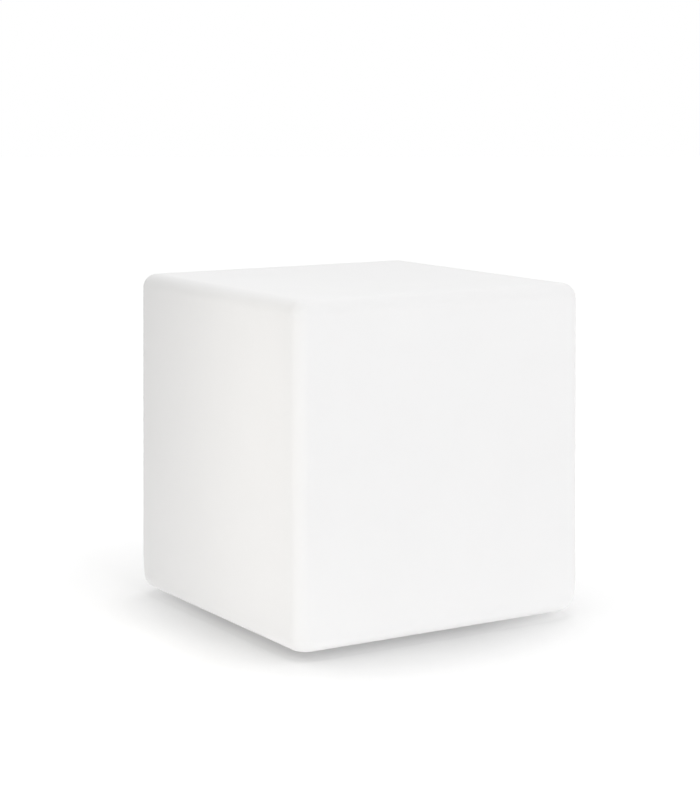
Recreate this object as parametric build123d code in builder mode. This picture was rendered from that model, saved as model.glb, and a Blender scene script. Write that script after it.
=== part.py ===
from build123d import *
from math import hypot, radians, sqrt, tan
import os

# An outdoor ground light: a hollow, rounded cube of opal plastic that stands on the ground.
# A round base plate closes a well in the underside of the cube and carries the lamp. Four
# screws hold the two together, and once they are out the cube lifts off the base.
# Millimetres. The origin is on the ground under the middle, +Z is up, +Y is the cable side.

# Opal shell
cube_width = 400.0
cube_height = 400.0
draft_angle = 0.6
edge_radius = 18.0
shell_wall = 4.0
well_radius = 142.0
mouth_radius = 112.0
well_rim_radius = 2.5

# Brass inserts in the shell, and the screws into them
insert_radius = 4.5
insert_length = 12.0
insert_clearance = 0.05
boss_wall = 4.0
boss_cap = 3.0
screw_count = 4
screw_radius = 2.3
screw_clearance = 0.2
screw_tip_gap = 2.0
screw_head_radius = 4.6
screw_head_height = 3.2
screw_socket_width = 3.5
washer_radius = 5.4
washer_thickness = 1.0

# Shape of every screw head, as shares of its height
head_chamfer_share = 0.35
socket_share = 0.6

# Base plate
flange_clearance = 2.0
flange_thickness = 6.0
flange_rim_radius = 1.5
spigot_clearance = 3.0
spigot_lean = 3.0
base_wall = 3.0
recess_depth = 44.0
roof_rim_radius = 8.0
counterbore_depth = 2.0
counterbore_clearance = 0.6
pad_margin = 4.0
seat_gap = 1.0
rib_count = 8
rib_thickness = 2.5
rib_height = 10.0
hub_radius = 14.0
post_radius = 5.0
post_height = 6.0
pilot_depth = 7.0
pilot_clearance = 0.1

# Ring seal
gasket_margin = 3.0
gasket_width = 5.0
gasket_clearance = 0.2
groove_depth = 2.5

# Rubber feet
foot_count = 4
foot_radius = 11.0
foot_taper = 1.5
foot_edge_chamfer = 1.0
foot_recess = 1.5
foot_clearance = 0.2
foot_edge_margin = 2.0
ground_gap = 8.0

# Cable gland
gland_offset = 62.0
gland_thread_radius = 8.0
gland_clearance = 0.2
gland_flats = 20.0
gland_hex_height = 5.0
gland_stub = 7.0
gland_barrel = 11.0
gland_wall = 1.6
gland_bore_radius = 5.0
gland_seal_width = 3.5
gland_seal_thickness = 1.5
gland_nut_flats = 22.0
gland_nut_height = 5.0
insert_sleeve_length = 12.0
cable_bore_radius = 4.0
cap_gap = 1.0
cap_end_wall = 2.5
cap_hole_radius = 4.8
cap_nose_radius = 4.0
cap_hex_height = 8.0

# Lamp bracket
bracket_gauge = 1.5
bracket_width = 26.0
bracket_height = 32.0
bracket_span = 52.0
bracket_foot = 20.0
bracket_bend = 3.0
bracket_corner = 4.0
bracket_screw_radius = 1.8
bracket_screw_clearance = 0.3
bracket_screw_length = 7.0
tapping_head_radius = 3.4
tapping_head_height = 2.2
tapping_socket_width = 2.5

# Terminal block
block_offset = 52.0
block_pad_height = 2.0
block_pad_margin = 2.0
block_depth = 16.0
block_base_height = 8.0
block_tower_height = 13.0
block_wall = 1.4
block_fit = 0.1
sleeve_radius = 2.8
sleeve_bore_radius = 1.7
sleeve_inset = 1.0
sleeve_level = 5.0
clamp_screw_radius = 1.5
clamp_screw_spacing = 7.0
clamp_screw_sink = 1.0
block_screw_radius = 1.4
block_screw_length = 12.0
block_screw_gap = 0.3

# Leads from the block to the lampholder
wire_radius = 1.1
wire_gap = 0.6
wire_entry = 4.0
wire_lead_out = 6.0
bend_share = 0.45

# Hollow nipple and its nut
nipple_wire_clearance = 0.9
nipple_wall = 1.6
nipple_stub = 2.0
nipple_grip = 10.0
nipple_clearance = 0.1
nipple_nut_flats = 14.0
nipple_nut_height = 4.0

# Lampholder
socket_clearance = 0.4
socket_wall = 0.4
socket_height = 24.0
contact_clearance = 0.9
contact_rise = 5.0
contact_gauge = 0.6
contact_width = 6.0
contact_reach = 7.5
contact_tongue = 5.0
contact_bend = 0.8
skirt_gap = 0.6
skirt_height = 30.0
skirt_lip = 3.4
core_ledge = 2.2
core_clearance = 0.2
core_seat = 6.0
core_thickness = 8.0
holder_wall = 2.6
holder_neck_wall = 4.0
holder_neck_height = 8.0
holder_shoulder = 7.0
holder_shoulder_slope = 0.2
dome_height = 24.0
dome_floor = 1.5

# Lamp
lamp_length = 108.0
globe_radius = 30.0
globe_wall = 1.2
collar_radius = 27.0
collar_lip = 1.4
collar_foot_slope = 0.25
cap_radius = 13.1
cap_length = 20.5
cap_shoulder = 1.6
tip_radius = 4.6
tip_height = 1.5
tip_chamfer = 0.6
insulator_height = 4.0
insulator_margin = 1.0
board_margin = 2.5
board_thickness = 1.6
chip_count = 9
chip_size = 3.0
chip_height = 0.8
chip_margin = 4.0

# Heights above the ground, from the feet up
shell_bottom = ground_gap
flange_top = ground_gap + flange_thickness
seat_level = flange_top + seat_gap
well_depth = seat_level - shell_bottom
ceiling = ground_gap + recess_depth
roof_top = ceiling + base_wall
bracket_level = roof_top + post_height
bracket_top = bracket_level + bracket_height
dome_top = bracket_top + dome_height
core_bottom = dome_top - core_seat
core_top = core_bottom + core_thickness
lamp_tip = core_top + contact_rise
insulator_bottom = lamp_tip + tip_height
cap_bottom = insulator_bottom + insulator_height
cap_top = cap_bottom + cap_length
globe_centre = lamp_tip + lamp_length - globe_radius
collar_top = globe_centre - sqrt(globe_radius**2 - collar_radius**2)

# Radii of the base plate and what it carries
flange_radius = well_radius - flange_clearance
spigot_radius = mouth_radius - spigot_clearance
lean = tan(radians(spigot_lean))
spigot_top_radius = spigot_radius - (roof_top - flange_top) * lean
recess_radius = spigot_radius - base_wall
ceiling_radius = recess_radius - recess_depth * lean
gasket_inner = mouth_radius + gasket_margin
gasket_outer = gasket_inner + gasket_width
groove_outer = gasket_outer + gasket_clearance
screw_circle = (groove_outer + flange_radius) / 2
foot_circle = flange_radius - foot_edge_margin - foot_radius
foot_start = 180.0 / foot_count

# The pair of wires sets the bore of the nipple, and the lamp cap sets the lampholder
wire_offset = wire_radius + wire_gap / 2
nipple_bore = wire_offset + wire_radius + nipple_wire_clearance
nipple_radius = nipple_bore + nipple_wall
socket_radius = cap_radius + socket_clearance
skirt_bore = socket_radius + socket_wall + skirt_gap
core_radius = skirt_bore + core_ledge
core_seat_radius = core_radius + core_clearance
holder_radius = core_seat_radius + holder_wall
holder_neck_radius = nipple_radius + holder_neck_wall
socket_hole = hypot(contact_reach, contact_width / 2) + contact_clearance

# The terminal block is as wide as its two sleeves and the screw between them
tower_width = 2 * (sleeve_radius + block_wall)
terminal_pitch = tower_width + 2 * (tapping_head_radius + block_screw_gap)
block_width = terminal_pitch + tower_width
block_level = roof_top + block_pad_height
wire_level = block_level + sleeve_level

# Places that several pieces share
bracket_screw_place = bracket_span / 2 + bracket_foot / 2
gland_axis = Axis((0, gland_offset, 0), (0, 0, 1))
gland_profile = Plane((0, gland_offset, 0), x_dir=(1, 0, 0), z_dir=(0, -1, 0))
block_profile = Plane((0, -block_offset, 0), x_dir=(1, 0, 0), z_dir=(0, -1, 0))


def gland_plane(height):
    """Level plane on the axis of the cable gland."""
    return Plane((0, gland_offset, height))


def block_plane(height):
    """Level plane over the middle of the terminal block."""
    return Plane((0, -block_offset, height))


def save(piece, name):
    """Label a finished piece and write it to its own file."""
    piece.part.label = name
    export_step(piece.part, f"parts/{name}.step")


def make_screw(shank_radius, shank_length, head_radius, head_height, socket_width):
    """Screw with a hexagon socket: the chamfered head is above the origin, the shank below it."""
    with BuildPart() as screw:
        with BuildSketch():
            Circle(head_radius)
        extrude(amount=head_height)
        chamfer(screw.edges().group_by(Axis.Z)[-1], head_height * head_chamfer_share)
        with BuildSketch():
            Circle(shank_radius)
        extrude(amount=-shank_length)
        with BuildSketch(Plane.XY.offset(head_height)):
            RegularPolygon(socket_width / 2, 6, major_radius=False)
        extrude(amount=-head_height * socket_share, mode=Mode.SUBTRACT)
    return screw.part


os.makedirs("parts", exist_ok=True)

# Opal shell: a drafted cube, rounded all over and hollowed to an even wall. The well in its
# underside is moulded with the same wall, and each insert sits in a blind boss above the well.
boss_radius = insert_radius + boss_wall
boss_height = insert_length + boss_cap

with BuildPart() as diffuser_shell:
    with BuildSketch(Plane.XY.offset(shell_bottom)):
        Rectangle(cube_width, cube_width)
    extrude(amount=cube_height, taper=draft_angle)
    fillet(diffuser_shell.edges(), edge_radius)
    offset(amount=-shell_wall, mode=Mode.SUBTRACT)
    with BuildSketch(Plane.XY.offset(shell_bottom)):
        Circle(well_radius + shell_wall)
    extrude(amount=well_depth + shell_wall)
    with BuildSketch(Plane.XY.offset(seat_level)):
        with PolarLocations(screw_circle, screw_count):
            Circle(boss_radius)
    extrude(amount=boss_height)
    with BuildSketch(Plane.XY.offset(shell_bottom)):
        Circle(well_radius)
    extrude(amount=well_depth, mode=Mode.SUBTRACT)
    with BuildSketch(Plane.XY.offset(seat_level)):
        Circle(mouth_radius)
    extrude(amount=shell_wall, mode=Mode.SUBTRACT)
    with BuildSketch(Plane.XY.offset(seat_level)):
        with PolarLocations(screw_circle, screw_count):
            Circle(insert_radius + insert_clearance)
    extrude(amount=insert_length, mode=Mode.SUBTRACT)
    well_rim = diffuser_shell.edges().filter_by(GeomType.CIRCLE).group_by(Axis.Z)[0]
    fillet(well_rim, well_rim_radius)
save(diffuser_shell, "diffuser_shell")

# Brass inserts: threaded sleeves, flush with the roof of the well.
with BuildPart() as threaded_inserts:
    with BuildSketch(Plane.XY.offset(seat_level)):
        with PolarLocations(screw_circle, screw_count):
            Circle(insert_radius)
            Circle(screw_radius + screw_clearance, mode=Mode.SUBTRACT)
    extrude(amount=insert_length)
save(threaded_inserts, "threaded_inserts")

# Base plate: a flange that closes the well, and a leaning spigot that rises into the shell to
# a flat roof. Under the roof a hub and radial ribs stiffen it and leave room for the gland.
counterbore_radius = washer_radius + counterbore_clearance
pad_radius = screw_radius + screw_clearance + pad_margin
groove_inner = gasket_inner - gasket_clearance
rib_bottom = ceiling - rib_height
rib_start = hub_radius - rib_thickness / 2
rib_end = ceiling_radius + rib_height * lean + base_wall / 2
screw_post_places = [(-bracket_screw_place, 0), (bracket_screw_place, 0)]
block_pad_width = block_width + 2 * block_pad_margin
block_pad_depth = block_depth + 2 * block_pad_margin

with BuildPart() as base_plate:
    with BuildSketch(Plane.XZ) as base_section:
        with BuildLine():
            Polyline(
                (0, ceiling),
                (ceiling_radius, ceiling),
                (recess_radius, ground_gap),
                (flange_radius, ground_gap),
                (flange_radius, flange_top),
                (spigot_radius, flange_top),
                (spigot_top_radius, roof_top),
                (0, roof_top),
                close=True,
            )
        make_face()
        corners = base_section.vertices()
        fillet(corners.sort_by_distance((spigot_top_radius, roof_top))[0], roof_rim_radius)
        fillet(corners.sort_by_distance((ceiling_radius, ceiling))[0], roof_rim_radius - base_wall)
        fillet(corners.sort_by_distance((flange_radius, ground_gap))[0], flange_rim_radius)
    revolve(axis=Axis.Z)
    with BuildSketch(Plane.XY.offset(rib_bottom)):
        Circle(hub_radius)
        with PolarLocations((rib_start + rib_end) / 2, rib_count, start_angle=180.0 / rib_count):
            Rectangle(rib_end - rib_start, rib_thickness)
        Circle(hub_radius - rib_thickness, mode=Mode.SUBTRACT)
    extrude(amount=rib_height)
    with BuildSketch(Plane.XY.offset(flange_top)):
        with PolarLocations(screw_circle, screw_count):
            Circle(pad_radius)
    extrude(amount=seat_gap)
    with BuildSketch(Plane.XY.offset(roof_top)):
        with Locations(screw_post_places):
            Circle(post_radius)
    extrude(amount=post_height)
    with BuildSketch(block_plane(roof_top)):
        Rectangle(block_pad_width, block_pad_depth)
    extrude(amount=block_pad_height)
    with BuildSketch(Plane.XY.offset(flange_top)):
        Circle(groove_outer)
        Circle(groove_inner, mode=Mode.SUBTRACT)
    extrude(amount=-groove_depth, mode=Mode.SUBTRACT)
    with BuildSketch(Plane.XY.offset(ground_gap)):
        with PolarLocations(foot_circle, foot_count, start_angle=foot_start):
            Circle(foot_radius + foot_clearance)
    extrude(amount=foot_recess, mode=Mode.SUBTRACT)
    with BuildSketch(Plane.XY.offset(ground_gap)):
        with PolarLocations(screw_circle, screw_count):
            Circle(counterbore_radius)
    extrude(amount=counterbore_depth, mode=Mode.SUBTRACT)
    with BuildSketch(Plane.XY.offset(ground_gap)):
        with PolarLocations(screw_circle, screw_count):
            Circle(screw_radius + screw_clearance)
    extrude(amount=flange_thickness + seat_gap, mode=Mode.SUBTRACT)
    with BuildSketch(gland_plane(ceiling)):
        Circle(gland_thread_radius + gland_clearance)
    extrude(amount=base_wall, mode=Mode.SUBTRACT)
    with BuildSketch(Plane.XY.offset(bracket_level)):
        with Locations(screw_post_places):
            Circle(bracket_screw_radius + pilot_clearance)
    extrude(amount=-pilot_depth, mode=Mode.SUBTRACT)
    with BuildSketch(block_plane(block_level)):
        Circle(block_screw_radius + pilot_clearance)
    extrude(amount=-(block_screw_length - block_base_height), mode=Mode.SUBTRACT)
save(base_plate, "base_plate")

# Ring seal, half sunk in its groove, inside the circle of screws.
with BuildPart() as base_gasket:
    with BuildSketch(Plane.XY.offset(flange_top - groove_depth)):
        Circle(gasket_outer)
        Circle(gasket_inner, mode=Mode.SUBTRACT)
    extrude(amount=groove_depth + seat_gap)
save(base_gasket, "base_gasket")

# Screws from below, with a plain washer in each counterbore.
washer_top = ground_gap + counterbore_depth
screw_face = washer_top - washer_thickness
screw_length = seat_level + insert_length - screw_tip_gap - screw_face
base_screw = make_screw(
    screw_radius, screw_length, screw_head_radius, screw_head_height, screw_socket_width
)
upright_screw = Pos(0, 0, screw_face) * Rot(180, 0, 0) * base_screw

with BuildPart() as base_screws:
    with PolarLocations(screw_circle, screw_count):
        add(upright_screw)
save(base_screws, "base_screws")

with BuildPart() as screw_washers:
    with BuildSketch(Plane.XY.offset(screw_face)):
        with PolarLocations(screw_circle, screw_count):
            Circle(washer_radius)
            Circle(screw_radius + screw_clearance, mode=Mode.SUBTRACT)
    extrude(amount=washer_thickness)
save(screw_washers, "screw_washers")

# Rubber feet, pressed into shallow recesses in the flange.
with BuildPart() as foot:
    with BuildSketch(Plane.XZ) as foot_section:
        with BuildLine():
            Polyline(
                (0, 0),
                (foot_radius - foot_taper, 0),
                (foot_radius, ground_gap),
                (foot_radius, ground_gap + foot_recess),
                (0, ground_gap + foot_recess),
                close=True,
            )
        make_face()
        tread_corner = foot_section.vertices().sort_by_distance((foot_radius - foot_taper, 0))[0]
        chamfer(tread_corner, foot_edge_chamfer)
    revolve(axis=Axis.Z)

with BuildPart() as rubber_feet:
    with PolarLocations(foot_circle, foot_count, start_angle=foot_start):
        add(foot.part)
save(rubber_feet, "rubber_feet")

# Cable gland, through the roof and pointing down into the recess. The seal lies between the
# hexagon of the body and the roof, the nut is on the dry side, and the cap squeezes the sleeve.
gland_hex_top = ceiling - gland_seal_thickness
gland_hex_bottom = gland_hex_top - gland_hex_height
barrel_bottom = gland_hex_bottom - gland_barrel
stub_top = roof_top + gland_stub
sleeve_outer = gland_thread_radius - gland_wall
sleeve_bottom = gland_hex_bottom - insert_sleeve_length
cap_top_face = gland_hex_bottom - cap_gap
cap_bottom_face = sleeve_bottom - cap_end_wall

with BuildPart() as gland_body:
    with BuildSketch(gland_plane(barrel_bottom)):
        Circle(gland_thread_radius)
    extrude(amount=stub_top - barrel_bottom)
    with BuildSketch(gland_plane(gland_hex_bottom)):
        RegularPolygon(gland_flats / 2, 6, major_radius=False)
    extrude(amount=gland_hex_height)
    with BuildSketch(gland_plane(barrel_bottom)):
        Circle(sleeve_outer + gland_clearance)
    extrude(amount=gland_barrel, mode=Mode.SUBTRACT)
    with BuildSketch(gland_plane(gland_hex_bottom)):
        Circle(gland_bore_radius)
    extrude(amount=stub_top - gland_hex_bottom, mode=Mode.SUBTRACT)
save(gland_body, "gland_body")

with BuildPart() as gland_seal_ring:
    with BuildSketch(gland_plane(gland_hex_top)):
        Circle(gland_thread_radius + gland_clearance + gland_seal_width)
        Circle(gland_thread_radius + gland_clearance, mode=Mode.SUBTRACT)
    extrude(amount=gland_seal_thickness)
save(gland_seal_ring, "gland_seal_ring")

with BuildPart() as gland_locknut:
    with BuildSketch(gland_plane(roof_top)):
        RegularPolygon(gland_nut_flats / 2, 6, major_radius=False)
        Circle(gland_thread_radius + gland_clearance, mode=Mode.SUBTRACT)
    extrude(amount=gland_nut_height)
save(gland_locknut, "gland_locknut")

with BuildPart() as gland_insert:
    with BuildSketch(gland_plane(sleeve_bottom)):
        Circle(sleeve_outer)
        Circle(cable_bore_radius, mode=Mode.SUBTRACT)
    extrude(amount=insert_sleeve_length)
save(gland_insert, "gland_insert")

with BuildPart() as gland_cap:
    with BuildSketch(gland_profile) as cap_section:
        with BuildLine():
            Polyline(
                (cap_hole_radius, cap_bottom_face),
                (gland_flats / 2, cap_bottom_face),
                (gland_flats / 2, cap_top_face),
                (gland_thread_radius + gland_clearance, cap_top_face),
                (gland_thread_radius + gland_clearance, sleeve_bottom),
                (cap_hole_radius, sleeve_bottom),
                close=True,
            )
        make_face()
        nose_corner = cap_section.vertices().sort_by_distance((gland_flats / 2, cap_bottom_face))[0]
        fillet(nose_corner, cap_nose_radius)
    revolve(axis=gland_axis)
    with BuildSketch(gland_plane(cap_top_face)):
        RegularPolygon(gland_flats / 2, 6, major_radius=False)
        Circle(gland_thread_radius + gland_clearance, mode=Mode.SUBTRACT)
    extrude(amount=-cap_hex_height)
save(gland_cap, "gland_cap")

# Lamp bracket: a strip bent to a hat, with its feet on the two posts of the base plate.
leg_place = (bracket_span - bracket_gauge) / 2
foot_end = bracket_span / 2 + bracket_foot
strip_low = bracket_level + bracket_gauge / 2
strip_high = bracket_top - bracket_gauge / 2

with BuildPart() as lamp_bracket:
    with BuildSketch(Plane.XZ):
        with BuildLine():
            FilletPolyline(
                (-foot_end, strip_low),
                (-leg_place, strip_low),
                (-leg_place, strip_high),
                (leg_place, strip_high),
                (leg_place, strip_low),
                (foot_end, strip_low),
                radius=bracket_bend,
            )
        trace(line_width=bracket_gauge)
    extrude(amount=bracket_width / 2, both=True)
    with BuildSketch(Plane.XY.offset(bracket_level)):
        with Locations(screw_post_places):
            Circle(bracket_screw_radius + bracket_screw_clearance)
    extrude(amount=bracket_gauge, mode=Mode.SUBTRACT)
    with BuildSketch(Plane.XY.offset(bracket_top)):
        Circle(nipple_radius + nipple_clearance)
    extrude(amount=-bracket_gauge, mode=Mode.SUBTRACT)
    foot_corners = lamp_bracket.edges().filter_by(Axis.Z).filter_by(
        lambda edge: abs(edge.center().X) > foot_end - bracket_gauge
    )
    fillet(foot_corners, bracket_corner)
save(lamp_bracket, "lamp_bracket")

bracket_screw = Pos(0, 0, bracket_level + bracket_gauge) * make_screw(
    bracket_screw_radius,
    bracket_screw_length,
    tapping_head_radius,
    tapping_head_height,
    tapping_socket_width,
)

with BuildPart() as bracket_screws:
    with Locations(screw_post_places):
        add(bracket_screw)
save(bracket_screws, "bracket_screws")

# Hollow nipple and the nut that holds it under the bracket.
nut_top = bracket_top - bracket_gauge
nut_bottom = nut_top - nipple_nut_height
nipple_bottom = nut_bottom - nipple_stub
nipple_top = bracket_top + nipple_grip

with BuildPart() as holder_nipple:
    with BuildSketch(Plane.XY.offset(nipple_bottom)):
        Circle(nipple_radius)
        Circle(nipple_bore, mode=Mode.SUBTRACT)
    extrude(amount=nipple_top - nipple_bottom)
save(holder_nipple, "holder_nipple")

with BuildPart() as nipple_nut:
    with BuildSketch(Plane.XY.offset(nut_bottom)):
        RegularPolygon(nipple_nut_flats / 2, 6, major_radius=False)
        Circle(nipple_radius + nipple_clearance, mode=Mode.SUBTRACT)
    extrude(amount=nipple_nut_height)
save(nipple_nut, "nipple_nut")

# Lampholder, from the bracket up: dome on the nipple, insulating core on a ledge in the dome,
# screw socket and sprung contact on the core, and a skirt that clamps the core from above.
neck_top = bracket_top + holder_neck_height
shoulder_top = neck_top + holder_shoulder
ledge_radius = core_radius - core_ledge

with BuildPart() as holder_dome:
    with BuildSketch(Plane.XZ):
        with BuildLine():
            Line((nipple_radius + nipple_clearance, bracket_top), (holder_neck_radius, bracket_top))
            Line((holder_neck_radius, bracket_top), (holder_neck_radius, neck_top))
            TangentArc(
                (holder_neck_radius, neck_top),
                (holder_radius, shoulder_top),
                tangent=(1, holder_shoulder_slope),
            )
            Line((holder_radius, shoulder_top), (holder_radius, dome_top))
            Line((holder_radius, dome_top), (core_seat_radius, dome_top))
            Line((core_seat_radius, dome_top), (core_seat_radius, core_bottom))
            Line((core_seat_radius, core_bottom), (ledge_radius, core_bottom))
            Line((ledge_radius, core_bottom), (holder_neck_radius, nipple_top + dome_floor))
            Line((holder_neck_radius, nipple_top + dome_floor), (nipple_bore, nipple_top + dome_floor))
            Line((nipple_bore, nipple_top + dome_floor), (nipple_bore, nipple_top))
            Line((nipple_bore, nipple_top), (nipple_radius + nipple_clearance, nipple_top))
            Line(
                (nipple_radius + nipple_clearance, nipple_top),
                (nipple_radius + nipple_clearance, bracket_top),
            )
        make_face()
    revolve(axis=Axis.Z)
save(holder_dome, "holder_dome")

with BuildPart() as holder_core:
    with BuildSketch(Plane.XY.offset(core_bottom)):
        Circle(core_radius)
    extrude(amount=core_thickness)
save(holder_core, "holder_core")

with BuildPart() as holder_screw_shell:
    with BuildSketch(Plane.XZ):
        with BuildLine():
            Polyline(
                (socket_hole, core_top),
                (socket_radius + socket_wall, core_top),
                (socket_radius + socket_wall, core_top + socket_height),
                (socket_radius, core_top + socket_height),
                (socket_radius, core_top + socket_wall),
                (socket_hole, core_top + socket_wall),
                close=True,
            )
        make_face()
    revolve(axis=Axis.Z)
save(holder_screw_shell, "holder_screw_shell")

leaf_low = core_top + contact_gauge / 2
leaf_high = lamp_tip - contact_gauge / 2

with BuildPart() as holder_contact:
    with BuildSketch(Plane.XZ):
        with BuildLine():
            FilletPolyline(
                (-contact_reach, leaf_low),
                (-contact_tongue, leaf_low),
                (-contact_rise / 2, leaf_high),
                (contact_tongue, leaf_high),
                radius=contact_bend,
            )
        trace(line_width=contact_gauge)
    extrude(amount=contact_width / 2, both=True)
save(holder_contact, "holder_contact")

skirt_top = dome_top + skirt_height

with BuildPart() as holder_skirt:
    with BuildSketch(Plane.XZ) as skirt_section:
        with BuildLine():
            Polyline(
                (core_seat_radius, dome_top),
                (holder_radius, dome_top),
                (skirt_bore + skirt_lip, skirt_top),
                (skirt_bore, skirt_top),
                (skirt_bore, core_top),
                (core_seat_radius, core_top),
                close=True,
            )
        make_face()
        lip_corner = skirt_section.vertices().sort_by_distance((skirt_bore + skirt_lip, skirt_top))[0]
        chamfer(lip_corner, skirt_lip / 2)
    revolve(axis=Axis.Z)
save(holder_skirt, "holder_skirt")

# Terminal block: a slab with a tower over each sleeve and a fixing screw between the towers.
sleeve_length = block_depth - 2 * sleeve_inset
way_places = [(-terminal_pitch / 2, 0), (terminal_pitch / 2, 0)]
clamp_spacing = (terminal_pitch, clamp_screw_spacing)
clamp_bottom = wire_level + wire_radius + block_fit
clamp_top = block_level + block_tower_height - clamp_screw_sink

with BuildPart() as terminal_block:
    with BuildSketch(block_plane(block_level)):
        Rectangle(block_width, block_depth)
    extrude(amount=block_base_height)
    with BuildSketch(block_plane(block_level)):
        with Locations(way_places):
            Rectangle(tower_width, block_depth)
    extrude(amount=block_tower_height)
    with BuildSketch(block_profile.offset(block_depth / 2)):
        with Locations((-terminal_pitch / 2, wire_level), (terminal_pitch / 2, wire_level)):
            Circle(sleeve_radius + block_fit)
    extrude(amount=-block_depth, mode=Mode.SUBTRACT)
    with BuildSketch(block_plane(block_level + block_tower_height)):
        with GridLocations(*clamp_spacing, 2, 2):
            Circle(clamp_screw_radius + block_fit)
    extrude(amount=wire_level - block_level - block_tower_height, mode=Mode.SUBTRACT)
    with BuildSketch(block_plane(block_level)):
        Circle(block_screw_radius + block_fit)
    extrude(amount=block_base_height, mode=Mode.SUBTRACT)
save(terminal_block, "terminal_block")

with BuildPart() as terminal_sleeves:
    with BuildSketch(block_profile.offset(sleeve_length / 2)):
        with Locations((-terminal_pitch / 2, wire_level), (terminal_pitch / 2, wire_level)):
            Circle(sleeve_radius)
            Circle(sleeve_bore_radius, mode=Mode.SUBTRACT)
    extrude(amount=-sleeve_length)
    with BuildSketch(block_plane(wire_level)):
        with GridLocations(*clamp_spacing, 2, 2):
            Circle(clamp_screw_radius + block_fit)
    extrude(amount=sleeve_radius, mode=Mode.SUBTRACT)
save(terminal_sleeves, "terminal_sleeves")

with BuildPart() as terminal_screws:
    with BuildSketch(block_plane(clamp_bottom)):
        with GridLocations(*clamp_spacing, 2, 2):
            Circle(clamp_screw_radius)
    extrude(amount=clamp_top - clamp_bottom)
save(terminal_screws, "terminal_screws")

block_fixing = make_screw(
    block_screw_radius,
    block_screw_length,
    tapping_head_radius,
    tapping_head_height,
    tapping_socket_width,
)

with BuildPart() as block_screw:
    with Locations((0, -block_offset, block_level + block_base_height)):
        add(block_fixing)
save(block_screw, "block_screw")

# Leads: out of the sleeves, together under the bracket, and up through the nipple to the core.
block_face = block_depth / 2 - block_offset


def make_wire(side):
    """Lead on one side of the middle: side is -1 or 1."""
    entry = Vector(side * terminal_pitch / 2, block_face - wire_entry, wire_level)
    way_out = Vector(side * terminal_pitch / 2, block_face + wire_lead_out, wire_level)
    turn = Vector(side * wire_offset, 0, wire_level)
    end = Vector(side * wire_offset, 0, core_bottom)
    points = [entry, way_out, turn, end]
    runs = [after - before for before, after in zip(points, points[1:])]
    bends = []
    for run, next_run in zip(runs, runs[1:]):
        half_turn = radians(run.get_angle(next_run) / 2)
        bends.append(bend_share * min(run.length, next_run.length) / tan(half_turn))
    with BuildPart() as wire:
        with BuildLine() as route:
            FilletPolyline(*points, radius=bends)
        with BuildSketch(Plane(entry, z_dir=(0, 1, 0))):
            Circle(wire_radius)
        sweep(path=route.line)
    return wire


live_wire = make_wire(1)
save(live_wire, "live_wire")
neutral_wire = make_wire(-1)
save(neutral_wire, "neutral_wire")

# Lamp: centre contact and insulator below, then the screw cap, the collar with its lamp board,
# and the frosted globe.
with BuildPart() as lamp_contact:
    with BuildSketch(Plane.XY.offset(lamp_tip)):
        Circle(tip_radius)
    extrude(amount=tip_height)
    chamfer(lamp_contact.edges().group_by(Axis.Z)[0], tip_chamfer)
save(lamp_contact, "lamp_contact")

with BuildPart() as lamp_insulator:
    with BuildSketch(Plane.XZ):
        with BuildLine():
            Polyline(
                (0, insulator_bottom),
                (tip_radius + insulator_margin, insulator_bottom),
                (cap_radius - cap_shoulder, cap_bottom),
                (0, cap_bottom),
                close=True,
            )
        make_face()
    revolve(axis=Axis.Z)
save(lamp_insulator, "lamp_insulator")

with BuildPart() as lamp_cap:
    with BuildSketch(Plane.XY.offset(cap_bottom)):
        Circle(cap_radius)
    extrude(amount=cap_length)
    chamfer(lamp_cap.edges().group_by(Axis.Z)[0], cap_shoulder)
save(lamp_cap, "lamp_cap")

collar_foot = cap_radius + collar_lip
globe_inside = globe_radius - globe_wall
globe_drop = globe_centre - collar_top
rim_inside = sqrt(globe_inside**2 - globe_drop**2)

with BuildPart() as lamp_collar:
    with BuildSketch(Plane.XZ):
        with BuildLine():
            Line((0, cap_top), (collar_foot, cap_top))
            Spline(
                (collar_foot, cap_top),
                (collar_radius, collar_top),
                tangents=[(collar_foot_slope, 1), (globe_drop, collar_radius)],
            )
            Line((collar_radius, collar_top), (0, collar_top))
            Line((0, collar_top), (0, cap_top))
        make_face()
    revolve(axis=Axis.Z)
save(lamp_collar, "lamp_collar")

with BuildPart() as lamp_globe:
    with BuildSketch(Plane.XZ):
        with BuildLine():
            Line((rim_inside, collar_top), (collar_radius, collar_top))
            ThreePointArc(
                (collar_radius, collar_top),
                (globe_radius, globe_centre),
                (0, globe_centre + globe_radius),
            )
            Line((0, globe_centre + globe_radius), (0, globe_centre + globe_inside))
            ThreePointArc(
                (0, globe_centre + globe_inside),
                (globe_inside, globe_centre),
                (rim_inside, collar_top),
            )
        make_face()
    revolve(axis=Axis.Z)
save(lamp_globe, "lamp_globe")

board_radius = rim_inside - board_margin

with BuildPart() as lamp_led_board:
    with BuildSketch(Plane.XY.offset(collar_top)):
        Circle(board_radius)
    extrude(amount=board_thickness)
    with BuildSketch(Plane.XY.offset(collar_top + board_thickness)):
        with PolarLocations(board_radius - chip_margin, chip_count):
            Rectangle(chip_size, chip_size)
    extrude(amount=chip_height)
save(lamp_led_board, "lamp_led_board")
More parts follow.
